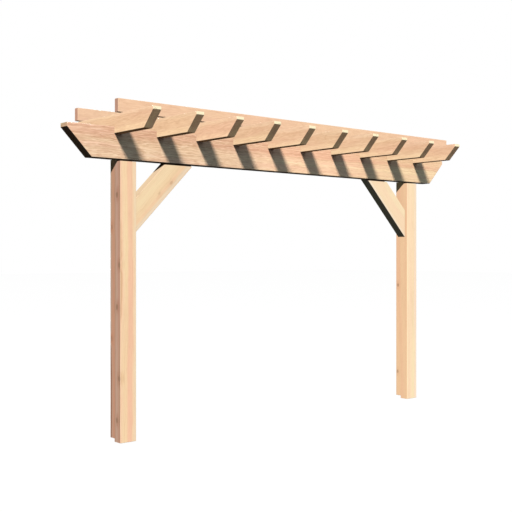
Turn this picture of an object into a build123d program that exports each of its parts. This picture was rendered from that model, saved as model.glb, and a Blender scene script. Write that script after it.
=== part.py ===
from build123d import *
import os

# Timber pergola: two posts, one beam with two knee braces, ten rafters, two purlins.
# Millimetres, +Z up, X along the beam, +Y towards the back.
# Origin: middle of the left post, on the face its foot stands on.

# posts
POST = 140.0              # square section
POST_SPACING = 3264.0     # centre to centre
POST_TOP = 2121.0         # the beam rests on it
FOOT_REBATE_DEPTH = 58.0  # cut into the back of the foot
FOOT_REBATE_HEIGHT = 25.0
TOP_REBATE_HEIGHT = 15.0  # cut across the front of the post and brace heads, under the beam
TOP_REBATE_Y = -20.0      # the rebate runs from the front face back to here

# beam
BEAM_LENGTH = 4267.0
BEAM_HEIGHT = 237.0
BEAM_THICK = 98.0
BEAM_NOSE = 30.0          # upright part of each end
BEAM_CUT_RUN = 201.0      # length of the sloped undercut along X
BEAM_BOTTOM = POST_TOP
BEAM_TOP = BEAM_BOTTOM + BEAM_HEIGHT

# knee braces
BRACE_THICK = 85.0
BRACE_WIDTH = 184.0       # square to its length
LEFT_BRACE_LEG = 560.0    # from the post face, along the beam, to the lower edge
RIGHT_BRACE_LEG = 540.0

# rafters
RAFTER_COUNT = 10
RAFTER_SPACING = 379.0
RAFTER_FIRST = -109.0      # left face of the first rafter
RAFTER_THICK = 71.0
RAFTER_HEIGHT = 142.0
RAFTER_REACH = 561.0      # from the beam's middle to each end
RAFTER_NOSE = 22.0
RAFTER_CUT_RUN = 117.0
RAFTER_NOTCH = 48.0       # depth of the seat over the beam
RAFTER_BOTTOM = BEAM_TOP - RAFTER_NOTCH
RAFTER_TOP = RAFTER_BOTTOM + RAFTER_HEIGHT

# purlins
PURLIN_THICK = 45.0
PURLIN_HEIGHT = 100.0
PURLIN_LEFT = -151.0
PURLIN_RIGHT = 3681.0
FRONT_PURLIN_Y = -168.0   # front face
BACK_PURLIN_Y = 420.0     # front face

os.makedirs("parts", exist_ok=True)


def prism_y(points, y0, y1):
    """Solid with the given (x, z) outline, from y0 to y1."""
    wire = Polyline(*[(x, y0, z) for x, z in points], close=True)
    return extrude(make_face(wire), amount=y1 - y0, dir=(0, 1, 0))


def prism_x(points, x0, x1):
    """Solid with the given (y, z) outline, from x0 to x1."""
    wire = Polyline(*[(x0, y, z) for y, z in points], close=True)
    return extrude(make_face(wire), amount=x1 - x0, dir=(1, 0, 0))


def block(x0, x1, y0, y1, z0, z1):
    return Pos((x0 + x1) / 2, (y0 + y1) / 2, (z0 + z1) / 2) * Box(x1 - x0, y1 - y0, z1 - z0)


def save(shape, name):
    shape.label = name
    export_step(shape, f"parts/{name}.step")


half = POST / 2
mid_x = POST_SPACING / 2

# posts: one outline with the foot rebate at the back and the head rebate at the front
post_outline = [
    (-half, 0.0),
    (half - FOOT_REBATE_DEPTH, 0.0),
    (half - FOOT_REBATE_DEPTH, FOOT_REBATE_HEIGHT),
    (half, FOOT_REBATE_HEIGHT),
    (half, POST_TOP),
    (TOP_REBATE_Y, POST_TOP),
    (TOP_REBATE_Y, POST_TOP - TOP_REBATE_HEIGHT),
    (-half, POST_TOP - TOP_REBATE_HEIGHT),
]


def post(centre):
    return prism_x(post_outline, centre - half, centre + half)


save(post(0.0), "left_post")
save(post(POST_SPACING), "right_post")

# beam
bl = mid_x - BEAM_LENGTH / 2
br = mid_x + BEAM_LENGTH / 2
beam = prism_y(
    [
        (bl, BEAM_TOP),
        (bl, BEAM_TOP - BEAM_NOSE),
        (bl + BEAM_CUT_RUN, BEAM_BOTTOM),
        (br - BEAM_CUT_RUN, BEAM_BOTTOM),
        (br, BEAM_TOP - BEAM_NOSE),
        (br, BEAM_TOP),
    ],
    -BEAM_THICK / 2,
    BEAM_THICK / 2,
)
save(beam, "main_beam")

# knee braces: a parallelogram at 45 degrees, its head rebated like the posts
across = BRACE_WIDTH * 2 ** 0.5


def brace(face, way, leg):
    """face: X of the post face it starts from; way: +1 or -1 along X; leg: lower edge from the post."""
    body = prism_y(
        [
            (face, POST_TOP - leg),
            (face + way * leg, POST_TOP),
            (face + way * (leg - across), POST_TOP),
            (face, POST_TOP - leg + across),
        ],
        -BRACE_THICK / 2,
        BRACE_THICK / 2,
    )
    end = face + way * (leg + 10)
    rebate = block(
        min(face, end), max(face, end), -BRACE_THICK, TOP_REBATE_Y, POST_TOP - TOP_REBATE_HEIGHT, POST_TOP + 10
    )
    return body - rebate


save(brace(half, 1, LEFT_BRACE_LEG), "left_brace")
save(brace(POST_SPACING - half, -1, RIGHT_BRACE_LEG), "right_brace")

# rafters
rafter_outline = [
    (-RAFTER_REACH, RAFTER_TOP),
    (-RAFTER_REACH, RAFTER_TOP - RAFTER_NOSE),
    (-RAFTER_REACH + RAFTER_CUT_RUN, RAFTER_BOTTOM),
    (-BEAM_THICK / 2, RAFTER_BOTTOM),
    (-BEAM_THICK / 2, BEAM_TOP),
    (BEAM_THICK / 2, BEAM_TOP),
    (BEAM_THICK / 2, RAFTER_BOTTOM),
    (RAFTER_REACH - RAFTER_CUT_RUN, RAFTER_BOTTOM),
    (RAFTER_REACH, RAFTER_TOP - RAFTER_NOSE),
    (RAFTER_REACH, RAFTER_TOP),
]
for n in range(RAFTER_COUNT):
    left = RAFTER_FIRST + n * RAFTER_SPACING
    save(prism_x(rafter_outline, left, left + RAFTER_THICK), f"rafter_{n + 1:02d}")

# purlins
for name, y in (("front_purlin", FRONT_PURLIN_Y), ("back_purlin", BACK_PURLIN_Y)):
    save(block(PURLIN_LEFT, PURLIN_RIGHT, y, y + PURLIN_THICK, RAFTER_TOP, RAFTER_TOP + PURLIN_HEIGHT), name)
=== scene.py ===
import math
import random
import bpy
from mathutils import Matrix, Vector


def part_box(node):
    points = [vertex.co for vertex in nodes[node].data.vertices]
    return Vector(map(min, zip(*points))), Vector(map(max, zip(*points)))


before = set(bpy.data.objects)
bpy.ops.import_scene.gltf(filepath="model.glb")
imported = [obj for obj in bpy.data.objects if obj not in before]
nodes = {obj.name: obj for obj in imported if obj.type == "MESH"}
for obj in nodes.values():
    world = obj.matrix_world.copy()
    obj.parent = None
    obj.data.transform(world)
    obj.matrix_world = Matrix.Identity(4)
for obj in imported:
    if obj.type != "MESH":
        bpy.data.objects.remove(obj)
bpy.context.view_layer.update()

scene = bpy.context.scene


class Net:
    """Small helper that wires shader nodes; every method returns an output socket."""

    def __init__(self, name):
        self.mat = bpy.data.materials.new(name)
        self.mat.use_nodes = True
        self.tree = self.mat.node_tree
        self.shader = self.tree.nodes["Principled BSDF"]

    def put(self, socket, value):
        if isinstance(value, bpy.types.NodeSocket):
            self.tree.links.new(value, socket)
        elif isinstance(value, (tuple, list, Vector)) and len(socket.default_value) == 4 and len(value) == 3:
            socket.default_value = (*value, 1)
        else:
            socket.default_value = value

    def node(self, kind, **settings):
        n = self.tree.nodes.new("ShaderNode" + kind)
        for k, v in settings.items():
            setattr(n, k, v)
        return n

    def math(self, op, a, b=None, c=None, clamp=False):
        n = self.node("Math", operation=op, use_clamp=clamp)
        self.put(n.inputs[0], a)
        if b is not None:
            self.put(n.inputs[1], b)
        if c is not None:
            self.put(n.inputs[2], c)
        return n.outputs[0]

    def vec(self, op, a, b=None, scale=None):
        n = self.node("VectorMath", operation=op)
        self.put(n.inputs[0], a)
        if b is not None:
            self.put(n.inputs[1], b)
        if scale is not None:
            self.put(n.inputs["Scale"], scale)
        return n.outputs["Value"] if op in ("DOT_PRODUCT", "LENGTH", "DISTANCE") else n.outputs["Vector"]

    def join(self, x, y, z):
        n = self.node("CombineXYZ")
        for s, v in zip(n.inputs, (x, y, z)):
            self.put(s, v)
        return n.outputs[0]

    def noise(self, vector, scale=1.0, detail=2.0, rough=0.5, distortion=0.0, colour=False):
        n = self.node("TexNoise", noise_dimensions="3D")
        self.put(n.inputs["Vector"], vector)
        n.inputs["Scale"].default_value = scale
        n.inputs["Detail"].default_value = detail
        n.inputs["Roughness"].default_value = rough
        n.inputs["Distortion"].default_value = distortion
        return n.outputs["Color" if colour else "Fac"]

    def span(self, value, a, b, c=0.0, d=1.0, smooth=True):
        """value going from a to b is turned into c to d, and held outside."""
        n = self.node("MapRange", interpolation_type="SMOOTHSTEP" if smooth else "LINEAR", clamp=True)
        for s, v in zip(n.inputs, (value, a, b, c, d)):
            self.put(s, v)
        return n.outputs[0]

    def mix(self, amount, a, b, kind="MIX"):
        n = self.node("Mix", data_type="RGBA", blend_type=kind)
        self.put(n.inputs[0], amount)
        self.put(n.inputs[6], a)
        self.put(n.inputs[7], b)
        return n.outputs[2]

    def shade(self, colour, amount, by):
        """colour multiplied by the constant tint by, as far as amount says."""
        return self.mix(amount, colour, by, "MULTIPLY")


def timber(name, node, along, up, tone, seed, pith=(0.11, -0.05), tilt=(0.012, 0.02), pitch=0.0062,
           ring=0.10, band=0.5, bands=26.0, blush=0.6, figure=0.0, fibre=0.10, end=(0.62, 0.55, 0.60), end_onto=None,
           painted_side_light=(), knots=(), streaks=(), rows=(), grade=(), calm=None):
    """A sawn timber seen as a piece cut from a trunk: growth rings round a pith line, fibres along the grain,
    colour drifting from yellow to pink, end grain tinted by end (darker on the posts, braces and purlins, lighter on
    the beam and the rafters; on the rafters this is painted light on their shaded undercut ends), edges lightened
    (partly wear, partly a painted edge highlight), and knots where they are asked for.
    along, up: directions of the grain and of the width. tone: (pale, pink) colours. painted_side_light: (normal, tint)
    pairs, painted light and shade that darkens or lightens a side by the way it faces.
    knots: (x, y, z, radius, darkness). streaks: (distance from the pith, half width, tint, strength).
    rows: the same by the height across the width. grade: (start, full, tint), tints that set in along the grain.
    calm: (start, full, share), where the figure fades to that share along the grain."""
    net = Net(name)
    rng = random.Random(seed)
    lo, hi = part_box(node)
    centre = (Vector(lo) + Vector(hi)) / 2
    A = Vector(along).normalized()
    B = Vector(up).normalized()
    C = A.cross(B).normalized()
    if "brace" in node:
        centre += B * 0.092
    spot = net.node("TexCoord")
    P = net.vec("SUBTRACT", spot.outputs["Object"], tuple(centre))
    N = spot.outputs["Normal"]
    a, b, c = (net.vec("DOT_PRODUCT", P, tuple(v)) for v in (A, B, C))
    shift = [rng.uniform(-40, 40) for _ in range(6)]

    # the knots push the fibres aside
    push, core, halo = 0.0, None, None
    for x, y, z, radius, dark in knots:
        q = Vector((x, y, z)) - centre
        away = net.vec("SUBTRACT", net.join(a, b, c), (q.dot(A), q.dot(B), q.dot(C)))
        d = net.vec("LENGTH", net.vec("MULTIPLY", away, (0.62, 1.0, 1.0)))
        near = net.span(d, radius * 0.55, radius * 1.15, dark, 0.0)
        wide = net.span(d, radius * 0.8, radius * 3.4, dark, 0.0)
        core = near if core is None else net.math("MAXIMUM", core, near)
        halo = wide if halo is None else net.math("MAXIMUM", halo, wide)

    # slow wander of the grain
    slow = net.vec("MULTIPLY", net.join(a, b, c), (0.9, 3.2, 3.2))
    slow = net.vec("ADD", slow, (shift[0], shift[1], shift[2]))
    wander = net.vec("SUBTRACT", net.noise(slow, 1.0, 2.0, 0.5, colour=True), (0.5, 0.5, 0.5))
    ripple = net.vec("MULTIPLY", net.join(a, b, c), (9.0, 16.0, 16.0))
    ripple = net.vec("SUBTRACT", net.noise(net.vec("ADD", ripple, (shift[3], shift[4], shift[5])), 1.0, 1.0, 0.5, colour=True), (0.5, 0.5, 0.5))
    bent = net.vec("ADD", net.vec("SCALE", wander, scale=0.05), net.vec("SCALE", ripple, scale=0.008 + 0.03 * figure))
    parts = net.node("SeparateXYZ")
    net.put(parts.inputs[0], bent)
    bb = net.math("ADD", net.math("ADD", b, parts.outputs[1]), net.math("MULTIPLY_ADD", a, tilt[0], -pith[0]))
    cc = net.math("ADD", net.math("ADD", c, parts.outputs[2]), net.math("MULTIPLY_ADD", a, tilt[1], -pith[1]))
    if halo is not None:
        bb = net.math("MULTIPLY_ADD", halo, 0.018, bb)
    r = net.vec("LENGTH", net.join(bb, cc, 0.0))

    # growth rings: pale early wood darkening to a thin line of late wood
    uneven = net.noise(net.join(net.math("MULTIPLY", r, 40.0), shift[0], shift[1]), 1.0, 1.0)
    turn = net.math("FRACT", net.math("MULTIPLY_ADD", uneven, 2.4, net.math("DIVIDE", r, pitch)))
    late = net.math("MULTIPLY", net.span(turn, 0.25, 0.82), net.span(turn, 0.9, 1.0, 1.0, 0.0))

    # broad bands across the rings, and a drift of hue; streaks follow chosen rings
    wide = net.noise(net.join(net.math("MULTIPLY", a, 0.5), net.math("MULTIPLY", r, bands), shift[2]), 1.0, 2.0, 0.55)
    wide = net.span(wide, 0.34, 0.66)
    hue = net.noise(net.join(net.math("MULTIPLY_ADD", a, 0.7, shift[3]), net.math("MULTIPLY", r, bands * 0.62), shift[4]), 1.0, 2.0, 0.5)
    hue = net.span(hue, 0.36, 0.64)

    # fibres and pores
    fine = net.vec("MULTIPLY", net.join(a, bb, cc), (7.0, 210.0, 210.0))
    threads = net.noise(fine, 1.0, 3.0, 0.6)
    pore = net.noise(net.vec("MULTIPLY", net.join(a, bb, cc), (22.0, 620.0, 620.0)), 1.0, 1.0)
    pore = net.span(pore, 0.62, 0.74)

    # end grain, by how far the face looks along the grain
    facing = net.math("ABSOLUTE", net.vec("DOT_PRODUCT", N, tuple(A)))
    cut = net.span(facing, 0.35, 0.85)

    # longitudinal edges: second smallest distance to the piece's sides
    size = [max(abs((Vector(corner) - centre).dot(v)) for corner in
                [(x, y, z) for x in (lo[0], hi[0]) for y in (lo[1], hi[1]) for z in (lo[2], hi[2])]) for v in (A, B, C)]
    if "brace" in node:
        size = [9.0, 0.092, 0.0425]
    da = net.math("SUBTRACT", size[0], net.math("ABSOLUTE", a))
    db = net.math("SUBTRACT", size[1], net.math("ABSOLUTE", b))
    dc = net.math("SUBTRACT", size[2], net.math("ABSOLUTE", c))
    small, large = net.math("MINIMUM", db, dc), net.math("MAXIMUM", db, dc)
    rim = net.math("MAXIMUM", small, net.math("MINIMUM", large, da))
    chew = net.noise(net.vec("MULTIPLY", net.join(a, b, c), (30.0, 60.0, 60.0)), 1.0, 3.0, 0.6)
    edge = net.span(net.math("MULTIPLY_ADD", chew, -0.006, rim), -0.002, 0.0035, 1.0, 0.0)

    # colour
    pale, pink = tone
    colour = net.mix(net.math("MULTIPLY", hue, blush), pale, pink)
    for at, reach, tint, amount in streaks:
        off = net.math("ABSOLUTE", net.math("SUBTRACT", r, at))
        colour = net.shade(colour, net.span(off, reach * 0.45, reach * 1.15, amount, 0.0), tint)
    for at, reach, tint, amount in rows:
        off = net.math("ABSOLUTE", net.math("SUBTRACT", net.math("ADD", b, parts.outputs[1]), at))
        colour = net.shade(colour, net.span(off, reach * 0.3, reach * 1.3, amount, 0.0), tint)
    colour = net.shade(colour, net.math("MULTIPLY", wide, band), (0.86, 0.80, 0.76))
    colour = net.shade(colour, net.math("MULTIPLY", late, net.math("MULTIPLY_ADD", cut, max(0.0, 0.32 - ring), ring)), (0.55, 0.40, 0.30))
    colour = net.shade(colour, net.span(threads, 0.42, 0.68, 0.0, fibre), (0.50, 0.36, 0.28))
    colour = net.shade(colour, net.math("MULTIPLY", pore, 0.16), (0.45, 0.32, 0.24))
    if figure:
        curl = net.vec("ADD", net.vec("MULTIPLY", net.join(a, b, c), (10.0, 86.0, 86.0)), (shift[5], shift[0], shift[2]))
        curl = net.noise(curl, 1.0, 3.0, 0.6, 1.1)
        dim, lit = net.span(curl, 0.40, 0.66, 0.0, figure), net.span(curl, 0.30, 0.44, 0.35 * figure, 0.0)
        if calm:
            share = net.span(a, calm[0], calm[1], 1.0, calm[2])
            dim, lit = net.math("MULTIPLY", dim, share), net.math("MULTIPLY", lit, share)
        colour = net.shade(colour, dim, (0.66, 0.52, 0.46))
        colour = net.mix(lit, colour, (1.0, 0.86, 0.66))
    # end-grain tint; on the rafters it lightens the shaded undercut ends, which is painted light
    if end_onto is None:
        colour = net.shade(colour, cut, end)
    else:
        tip = net.span(net.vec("DOT_PRODUCT", N, end_onto[0]), 0.75, 0.95)
        colour = net.shade(colour, net.math("MULTIPLY", cut, net.math("SUBTRACT", 1.0, tip)), end)
        colour = net.mix(tip, colour, end_onto[1])
    # painted light and shade: each listed side is darkened or lightened by the way it faces
    for normal, tint in painted_side_light:
        colour = net.shade(colour, net.span(net.vec("DOT_PRODUCT", N, normal), 0.6, 0.9), tint)
    # painted shade: upward sides are darkened by the way they face, to hold down their strong top light and bright edge
    # lines, partly also weathering
    painted_top_shade = 0.80 if "brace" in node else 0.70
    colour = net.shade(colour, net.span(net.vec("DOT_PRODUCT", N, (0, 0, 1)), 0.2, 0.75), (painted_top_shade, painted_top_shade, painted_top_shade * 1.03))
    for start, full, tint in grade:
        colour = net.shade(colour, net.span(net.math("ADD", a, parts.outputs[0]), start, full), tint)
    # small drying cracks in the end grain
    angle = net.math("ARCTAN2", bb, cc)
    split = net.noise(net.join(net.math("MULTIPLY", angle, 34.0), net.math("MULTIPLY", r, 9.0), shift[1]), 1.0, 2.0, 0.6)
    split = net.math("MULTIPLY", net.span(split, 0.66, 0.72), net.span(facing, 0.9, 0.99))
    colour = net.shade(colour, net.math("MULTIPLY", split, 0.6), (0.32, 0.22, 0.16))
    if core is not None:
        grow = net.noise(net.vec("MULTIPLY", net.join(a, b, c), (70.0, 120.0, 120.0)), 1.0, 2.0)
        colour = net.shade(colour, net.math("MULTIPLY", halo, 0.30), (0.70, 0.50, 0.40))
        colour = net.mix(net.math("MULTIPLY", core, 0.85), colour, net.mix(grow, (0.20, 0.115, 0.07), (0.36, 0.21, 0.13)))
    # edges lightened: partly wear, partly a painted edge highlight
    colour = net.mix(net.math("MULTIPLY", edge, 0.16), colour, (0.90, 0.74, 0.55))
    # handling marks
    soil = net.noise(net.vec("MULTIPLY", net.join(a, b, c), (1.6, 5.0, 5.0)), 1.0, 4.0, 0.6)
    colour = net.shade(colour, net.span(soil, 0.52, 0.74, 0.0, 0.10), (0.62, 0.54, 0.48))
    net.put(net.shader.inputs["Base Color"], colour)

    # roughness and relief
    rough = net.math("MULTIPLY_ADD", threads, 0.22, 0.52)
    rough = net.math("MULTIPLY_ADD", late, -0.07, rough)
    rough = net.math("MULTIPLY_ADD", cut, 0.12, rough, clamp=True)
    net.put(net.shader.inputs["Roughness"], rough)
    net.shader.inputs["Specular IOR Level"].default_value = 0.25
    height = net.math("MULTIPLY_ADD", late, 0.35, net.math("MULTIPLY", threads, 0.75))
    height = net.math("MULTIPLY_ADD", pore, -0.5, height)
    height = net.math("MULTIPLY_ADD", split, -1.5, height)
    if core is not None:
        height = net.math("MULTIPLY_ADD", core, 0.8, height)
    bump = net.node("Bump")
    bump.inputs["Strength"].default_value = 0.35
    bump.inputs["Distance"].default_value = 0.0009
    net.put(bump.inputs["Height"], height)
    net.put(net.shader.inputs["Normal"], bump.outputs[0])
    return net.mat


def dress(node, material, ease=0.0025):
    o = nodes[node]
    o.data.materials.clear()
    o.data.materials.append(material)
    weld = o.modifiers.new("weld", "WELD")
    weld.merge_threshold = 0.00005
    bevel = o.modifiers.new("eased edges", "BEVEL")
    bevel.width = ease
    bevel.segments = 2
    bevel.limit_method = "ANGLE"
    bevel.angle_limit = math.radians(30)
    bevel.harden_normals = True


X, Y, Z = (1, 0, 0), (0, 1, 0), (0, 0, 1)
left_tone = ((0.87, 0.65, 0.41), (0.87, 0.54, 0.37))
right_tone = ((0.93, 0.74, 0.48), (0.93, 0.63, 0.44))
brace_tone = ((0.82, 0.60, 0.365), (0.82, 0.50, 0.335))
far_brace_tone = ((0.90, 0.725, 0.47), (0.90, 0.61, 0.43))
beam_tone = ((0.835, 0.58, 0.365), (0.815, 0.503, 0.335))
roof_tone = ((0.87, 0.585, 0.36), (0.86, 0.525, 0.345))
purlin_tone = ((0.765, 0.537, 0.355), (0.755, 0.487, 0.345))

# painted shade: the left post's left side is darkened in its colour
dress("left_post", timber(
    "left_post_wood", "left_post", Z, X, left_tone, 11, pith=(-0.13, 0.09), tilt=(0.001, 0.0), band=0.2, bands=34.0,
    blush=0.35, ring=0.10, painted_side_light=[((-1, 0, 0), (0.60, 0.53, 0.58))],
    streaks=[(0.2175, 0.016, (0.98, 0.85, 0.88), 1.0), (0.246, 0.010, (0.96, 1.03, 1.08), 0.9),
             (0.196, 0.012, (1.0, 1.03, 0.97), 0.8), (0.172, 0.008, (1.0, 0.90, 0.92), 1.0),
             (0.064, 0.007, (0.60, 0.48, 0.44), 1.0), (0.092, 0.016, (1.06, 0.86, 0.80), 1.0),
             (0.108, 0.005, (0.84, 0.78, 0.76), 1.0), (0.125, 0.013, (1.02, 0.98, 1.04), 1.0),
             (0.150, 0.012, (0.98, 0.84, 0.86), 1.0), (0.168, 0.007, (0.78, 0.74, 0.66), 0.9)],
    knots=[(-0.07, -0.023, 1.854, 0.016, 0.95), (-0.07, 0.047, 1.614, 0.013, 0.6), (-0.07, -0.055, 1.329, 0.015, 1.0),
           (-0.07, -0.023, 1.014, 0.016, 0.95), (-0.07, 0.052, 0.773, 0.014, 0.65), (-0.07, -0.055, 0.481, 0.016, 1.0),
           (-0.07, -0.023, 0.166, 0.015, 0.95), (0.07, 0.02, 1.21, 0.013, 0.7), (0.07, -0.03, 0.52, 0.010, 0.6),
           (0.01, 0.07, 0.93, 0.014, 0.7), (-0.03, 0.07, 1.62, 0.011, 0.6)]))
# painted shade: the right post's left side is darkened in its colour
dress("right_post", timber(
    "right_post_wood", "right_post", Z, X, right_tone, 23, pith=(-0.15, 0.10), tilt=(0.004, 0.006), band=0.18, bands=30.0,
    blush=0.5, ring=0.08, painted_side_light=[((-1, 0, 0), (0.92, 0.745, 0.685))],
    streaks=[(0.242, 0.012, (0.98, 1.03, 1.0), 0.8), (0.266, 0.010, (1.0, 1.02, 1.20), 0.9)],
    knots=[(3.194, 0.045, 1.11, 0.012, 0.7), (3.194, 0.05, 0.26, 0.012, 0.6), (3.334, 0.01, 1.55, 0.013, 0.7),
           (3.334, -0.03, 0.68, 0.012, 0.6), (3.27, 0.07, 1.05, 0.013, 0.7)]))
# painted highlight on the beam's left-facing end faces and painted shade on its underside; its end grain is also
# lightened a little
dress("main_beam", timber(
    "beam_wood", "main_beam", X, Z, beam_tone, 5, pith=(-0.25, 0.10), tilt=(0.004, 0.006), pitch=0.019, band=0.30,
    bands=34.0, blush=0.75, ring=0.25, figure=0.58, calm=(-1.3, 0.9, 0.42), end=(1.0, 1.10, 1.08),
    painted_side_light=[((-1, 0, 0), (1.05, 1.08, 1.06)), ((0, 0, -1), (0.8, 0.8, 0.75))],
    streaks=[(0.318, 0.060, (0.97, 0.87, 0.86), 0.8), (0.238, 0.024, (1.03, 1.03, 1.03), 0.9)],
    grade=[(-0.65, 0.0, (1.14, 1.13, 1.10)), (0.6, 1.6, (0.93, 0.98, 0.94))]), ease=0.003)
dress("left_brace", timber(
    "left_brace_wood", "left_brace", (1, 0, 1), (-1, 0, 1), brace_tone, 31, pith=(-0.042, 0.14), tilt=(0.02, 0.01), band=0.12,
    blush=0.55, ring=0.09,
    rows=[(-0.080, 0.020, (0.97, 1.06, 1.24), 0.9), (-0.047, 0.014, (1.0, 0.93, 0.96), 0.8), (0.050, 0.055, (1.03, 1.11, 1.13), 0.9)],
    knots=[(0.412, -0.0425, 1.968, 0.013, 0.34), (0.300, -0.0425, 1.880, 0.010, 0.22), (0.112, -0.0425, 1.872, 0.011, 0.3),
           (0.36, 0.0425, 1.90, 0.013, 0.6)]))
dress("right_brace", timber(
    "right_brace_wood", "right_brace", (-1, 0, 1), (1, 0, 1), far_brace_tone, 37, pith=(-0.152, 0.14), tilt=(0.02, 0.01), band=0.12,
    blush=0.5, ring=0.08, rows=[(-0.082, 0.018, (1.0, 1.10, 1.25), 0.8)], knots=[(2.9, 0.0425, 1.84, 0.012, 0.6)]))
# painted shade on the rafters' undersides (darker and browner) and painted light on their undercut ends (lightened
# through end)
for i in range(10):
    name = f"rafter_{i + 1:02d}"
    rng = random.Random(100 + i)
    drift = (1.06, 1.03, 1.03, 0.985, 1.005, 0.985, 0.975, 1.015, 0.985, 1.0)[i]
    tone = tuple(tuple(min(1.0, k * drift) for k in t) for t in roof_tone)
    dress(name, timber(
        f"{name}_wood", name, Y, Z, tone, 100 + i, pith=(rng.uniform(-0.05, 0.05), rng.choice((-1, 1)) * rng.uniform(0.08, 0.15)),
        tilt=(rng.uniform(-0.05, 0.05), rng.uniform(-0.03, 0.03)), band=0.3, bands=rng.uniform(26, 38), blush=0.7,
        ring=0.12, figure=0.28, end=(1.2, 1.16, 1.16), end_onto=((0, -1, 0), (0.82, 0.70, 0.46)),
        painted_side_light=[((0, 0, -1), (1.0, 0.68, 0.38))],
        rows=[(-0.056, 0.030, (1.10, 1.17, 1.16), 1.0), (0.060, 0.018, (1.05, 1.10, 1.14), 1.0)]), ease=0.0015)
for name, seed in (("front_purlin", 61), ("back_purlin", 67)):
    dress(name, timber(
        f"{name}_wood", name, X, Z, purlin_tone, seed, pith=(0.02, 0.12), tilt=(0.012, 0.008), band=0.22, bands=36.0,
        blush=0.6, ring=0.09, figure=0.16, end=(0.70, 0.595, 0.64) if "front" in name else (0.79, 0.67, 0.69)), ease=0.0018)

# floor
bpy.ops.mesh.primitive_plane_add(size=120, location=(1.6, 0, -0.001))
floor = bpy.context.object
floor.name = "floor"
paint = Net("floor_paint")
paint.shader.inputs["Base Color"].default_value = (0.9, 0.9, 0.9, 1)
paint.shader.inputs["Roughness"].default_value = 0.9
floor.data.materials.append(paint.mat)
floor.visible_diffuse = False
floor.visible_glossy = False

# background: white to the eye, a weak even light on everything else
world = bpy.data.worlds.new("studio")
scene.world = world
world.use_nodes = True
wt = world.node_tree
wt.nodes.clear()
path = wt.nodes.new("ShaderNodeLightPath")
seen = wt.nodes.new("ShaderNodeBackground")
seen.inputs[0].default_value = (1, 1, 1, 1)
seen.inputs[1].default_value = 1.0
room = wt.nodes.new("ShaderNodeBackground")
room.inputs[0].default_value = (1, 1, 1, 1)
room.inputs[1].default_value = 0.02
pick = wt.nodes.new("ShaderNodeMixShader")
wout = wt.nodes.new("ShaderNodeOutputWorld")
wt.links.new(path.outputs["Is Camera Ray"], pick.inputs[0])
wt.links.new(room.outputs[0], pick.inputs[1])
wt.links.new(seen.outputs[0], pick.inputs[2])
wt.links.new(pick.outputs[0], wout.inputs[0])


def group(name, objs):
    c = bpy.data.collections.new(name)
    for o in objs:
        c.objects.link(o)
    return c


posts = [o for n, o in nodes.items() if "post" in n]
braces = [o for n, o in nodes.items() if "brace" in n]
rafters = [o for n, o in nodes.items() if "rafter" in n]
purlins = [o for n, o in nodes.items() if "purlin" in n]
beam = [nodes["main_beam"]]


def sun(name, way, strength, spread, colour=(1, 1, 1), onto=None, past=None, shadow=True):
    """A distant lamp shining along way, onto the given objects, with shadows from past."""
    data = bpy.data.lights.new(name, "SUN")
    data.energy = strength * math.pi
    data.angle = math.radians(spread)
    data.color = colour
    data.use_shadow = shadow
    data.cycles.max_bounces = 0
    o = bpy.data.objects.new(name, data)
    scene.collection.objects.link(o)
    o.location = (0, 0, 5)
    o.rotation_euler = Vector(way).to_track_quat("-Z", "Y").to_euler()
    if onto is not None:
        o.light_linking.receiver_collection = group(name + "_onto", onto)
    if past is not None:
        o.light_linking.blocker_collection = group(name + "_past", past)
    return o


lit = {"beam": beam, "posts": posts, "braces": braces, "rafters": rafters, "purlins": purlins}
sun("key_beam", (0.755, 1.0, -1.32), 1.83, 10.0, onto=beam, past=rafters + beam)
sun("key_posts", (1.0, 1.14, -1.0), 1.78, 1.2, onto=posts, past=beam)
sun("key_braces", (1.0, 1.14, -1.0), 1.78, 1.2, onto=braces, past=beam)
sun("key_rafters", (1.0, 1.0, -1.0), 1.8, 1.5, onto=rafters, past=rafters)
sun("key_purlins", (1.0, 1.0, -1.0), 1.8, 1.5, onto=purlins, past=rafters)
sun("fill_beam", (-0.25, 1.0, -0.6), 1.0, 80, colour=(0.225, 0.32, 0.40), onto=beam, past=rafters)
sun("fill_rafters", (-0.25, 1.0, -0.1), 1.0, 70, colour=(0.225, 0.285, 0.305), onto=rafters, past=rafters)
sun("fill_purlins", (-0.25, 1.0, -0.1), 1.0, 70, colour=(0.25, 0.20, 0.16), onto=purlins, past=rafters)
sun("fill_posts", (1.0, 0.0, 0.0), 1.0, 20, colour=(0.062, 0.092, 0.082), onto=posts, shadow=False)
sun("fill_braces", (1.0, 0.0, 1.0), 1.0, 20, colour=(0.009, 0.017, 0.017), onto=braces, shadow=False)
for label, objs in lit.items():
    sun("back_" + label, (-0.6, -1.0, -0.5), 0.85, 6, onto=objs)
    sun("rear_" + label, (-0.15, -1.0, 0.0), 0.32, 4, onto=objs, shadow=False)
sun("floor_light", (0, 0, -1), 1.15, 20, onto=[floor], shadow=False)

# camera
cam = bpy.data.cameras.new("camera")
cam.sensor_width = 36
cam.lens = 36 * 916.4 / 512
co = bpy.data.objects.new("camera", cam)
scene.collection.objects.link(co)
co.location = (-3.727, -5.916, 1.399)
co.rotation_euler = (math.pi / 2, 0, math.radians(49.55) - math.pi / 2)
cam.shift_y = -0.4 / 512
scene.camera = co
scene.view_settings.view_transform = "Standard"
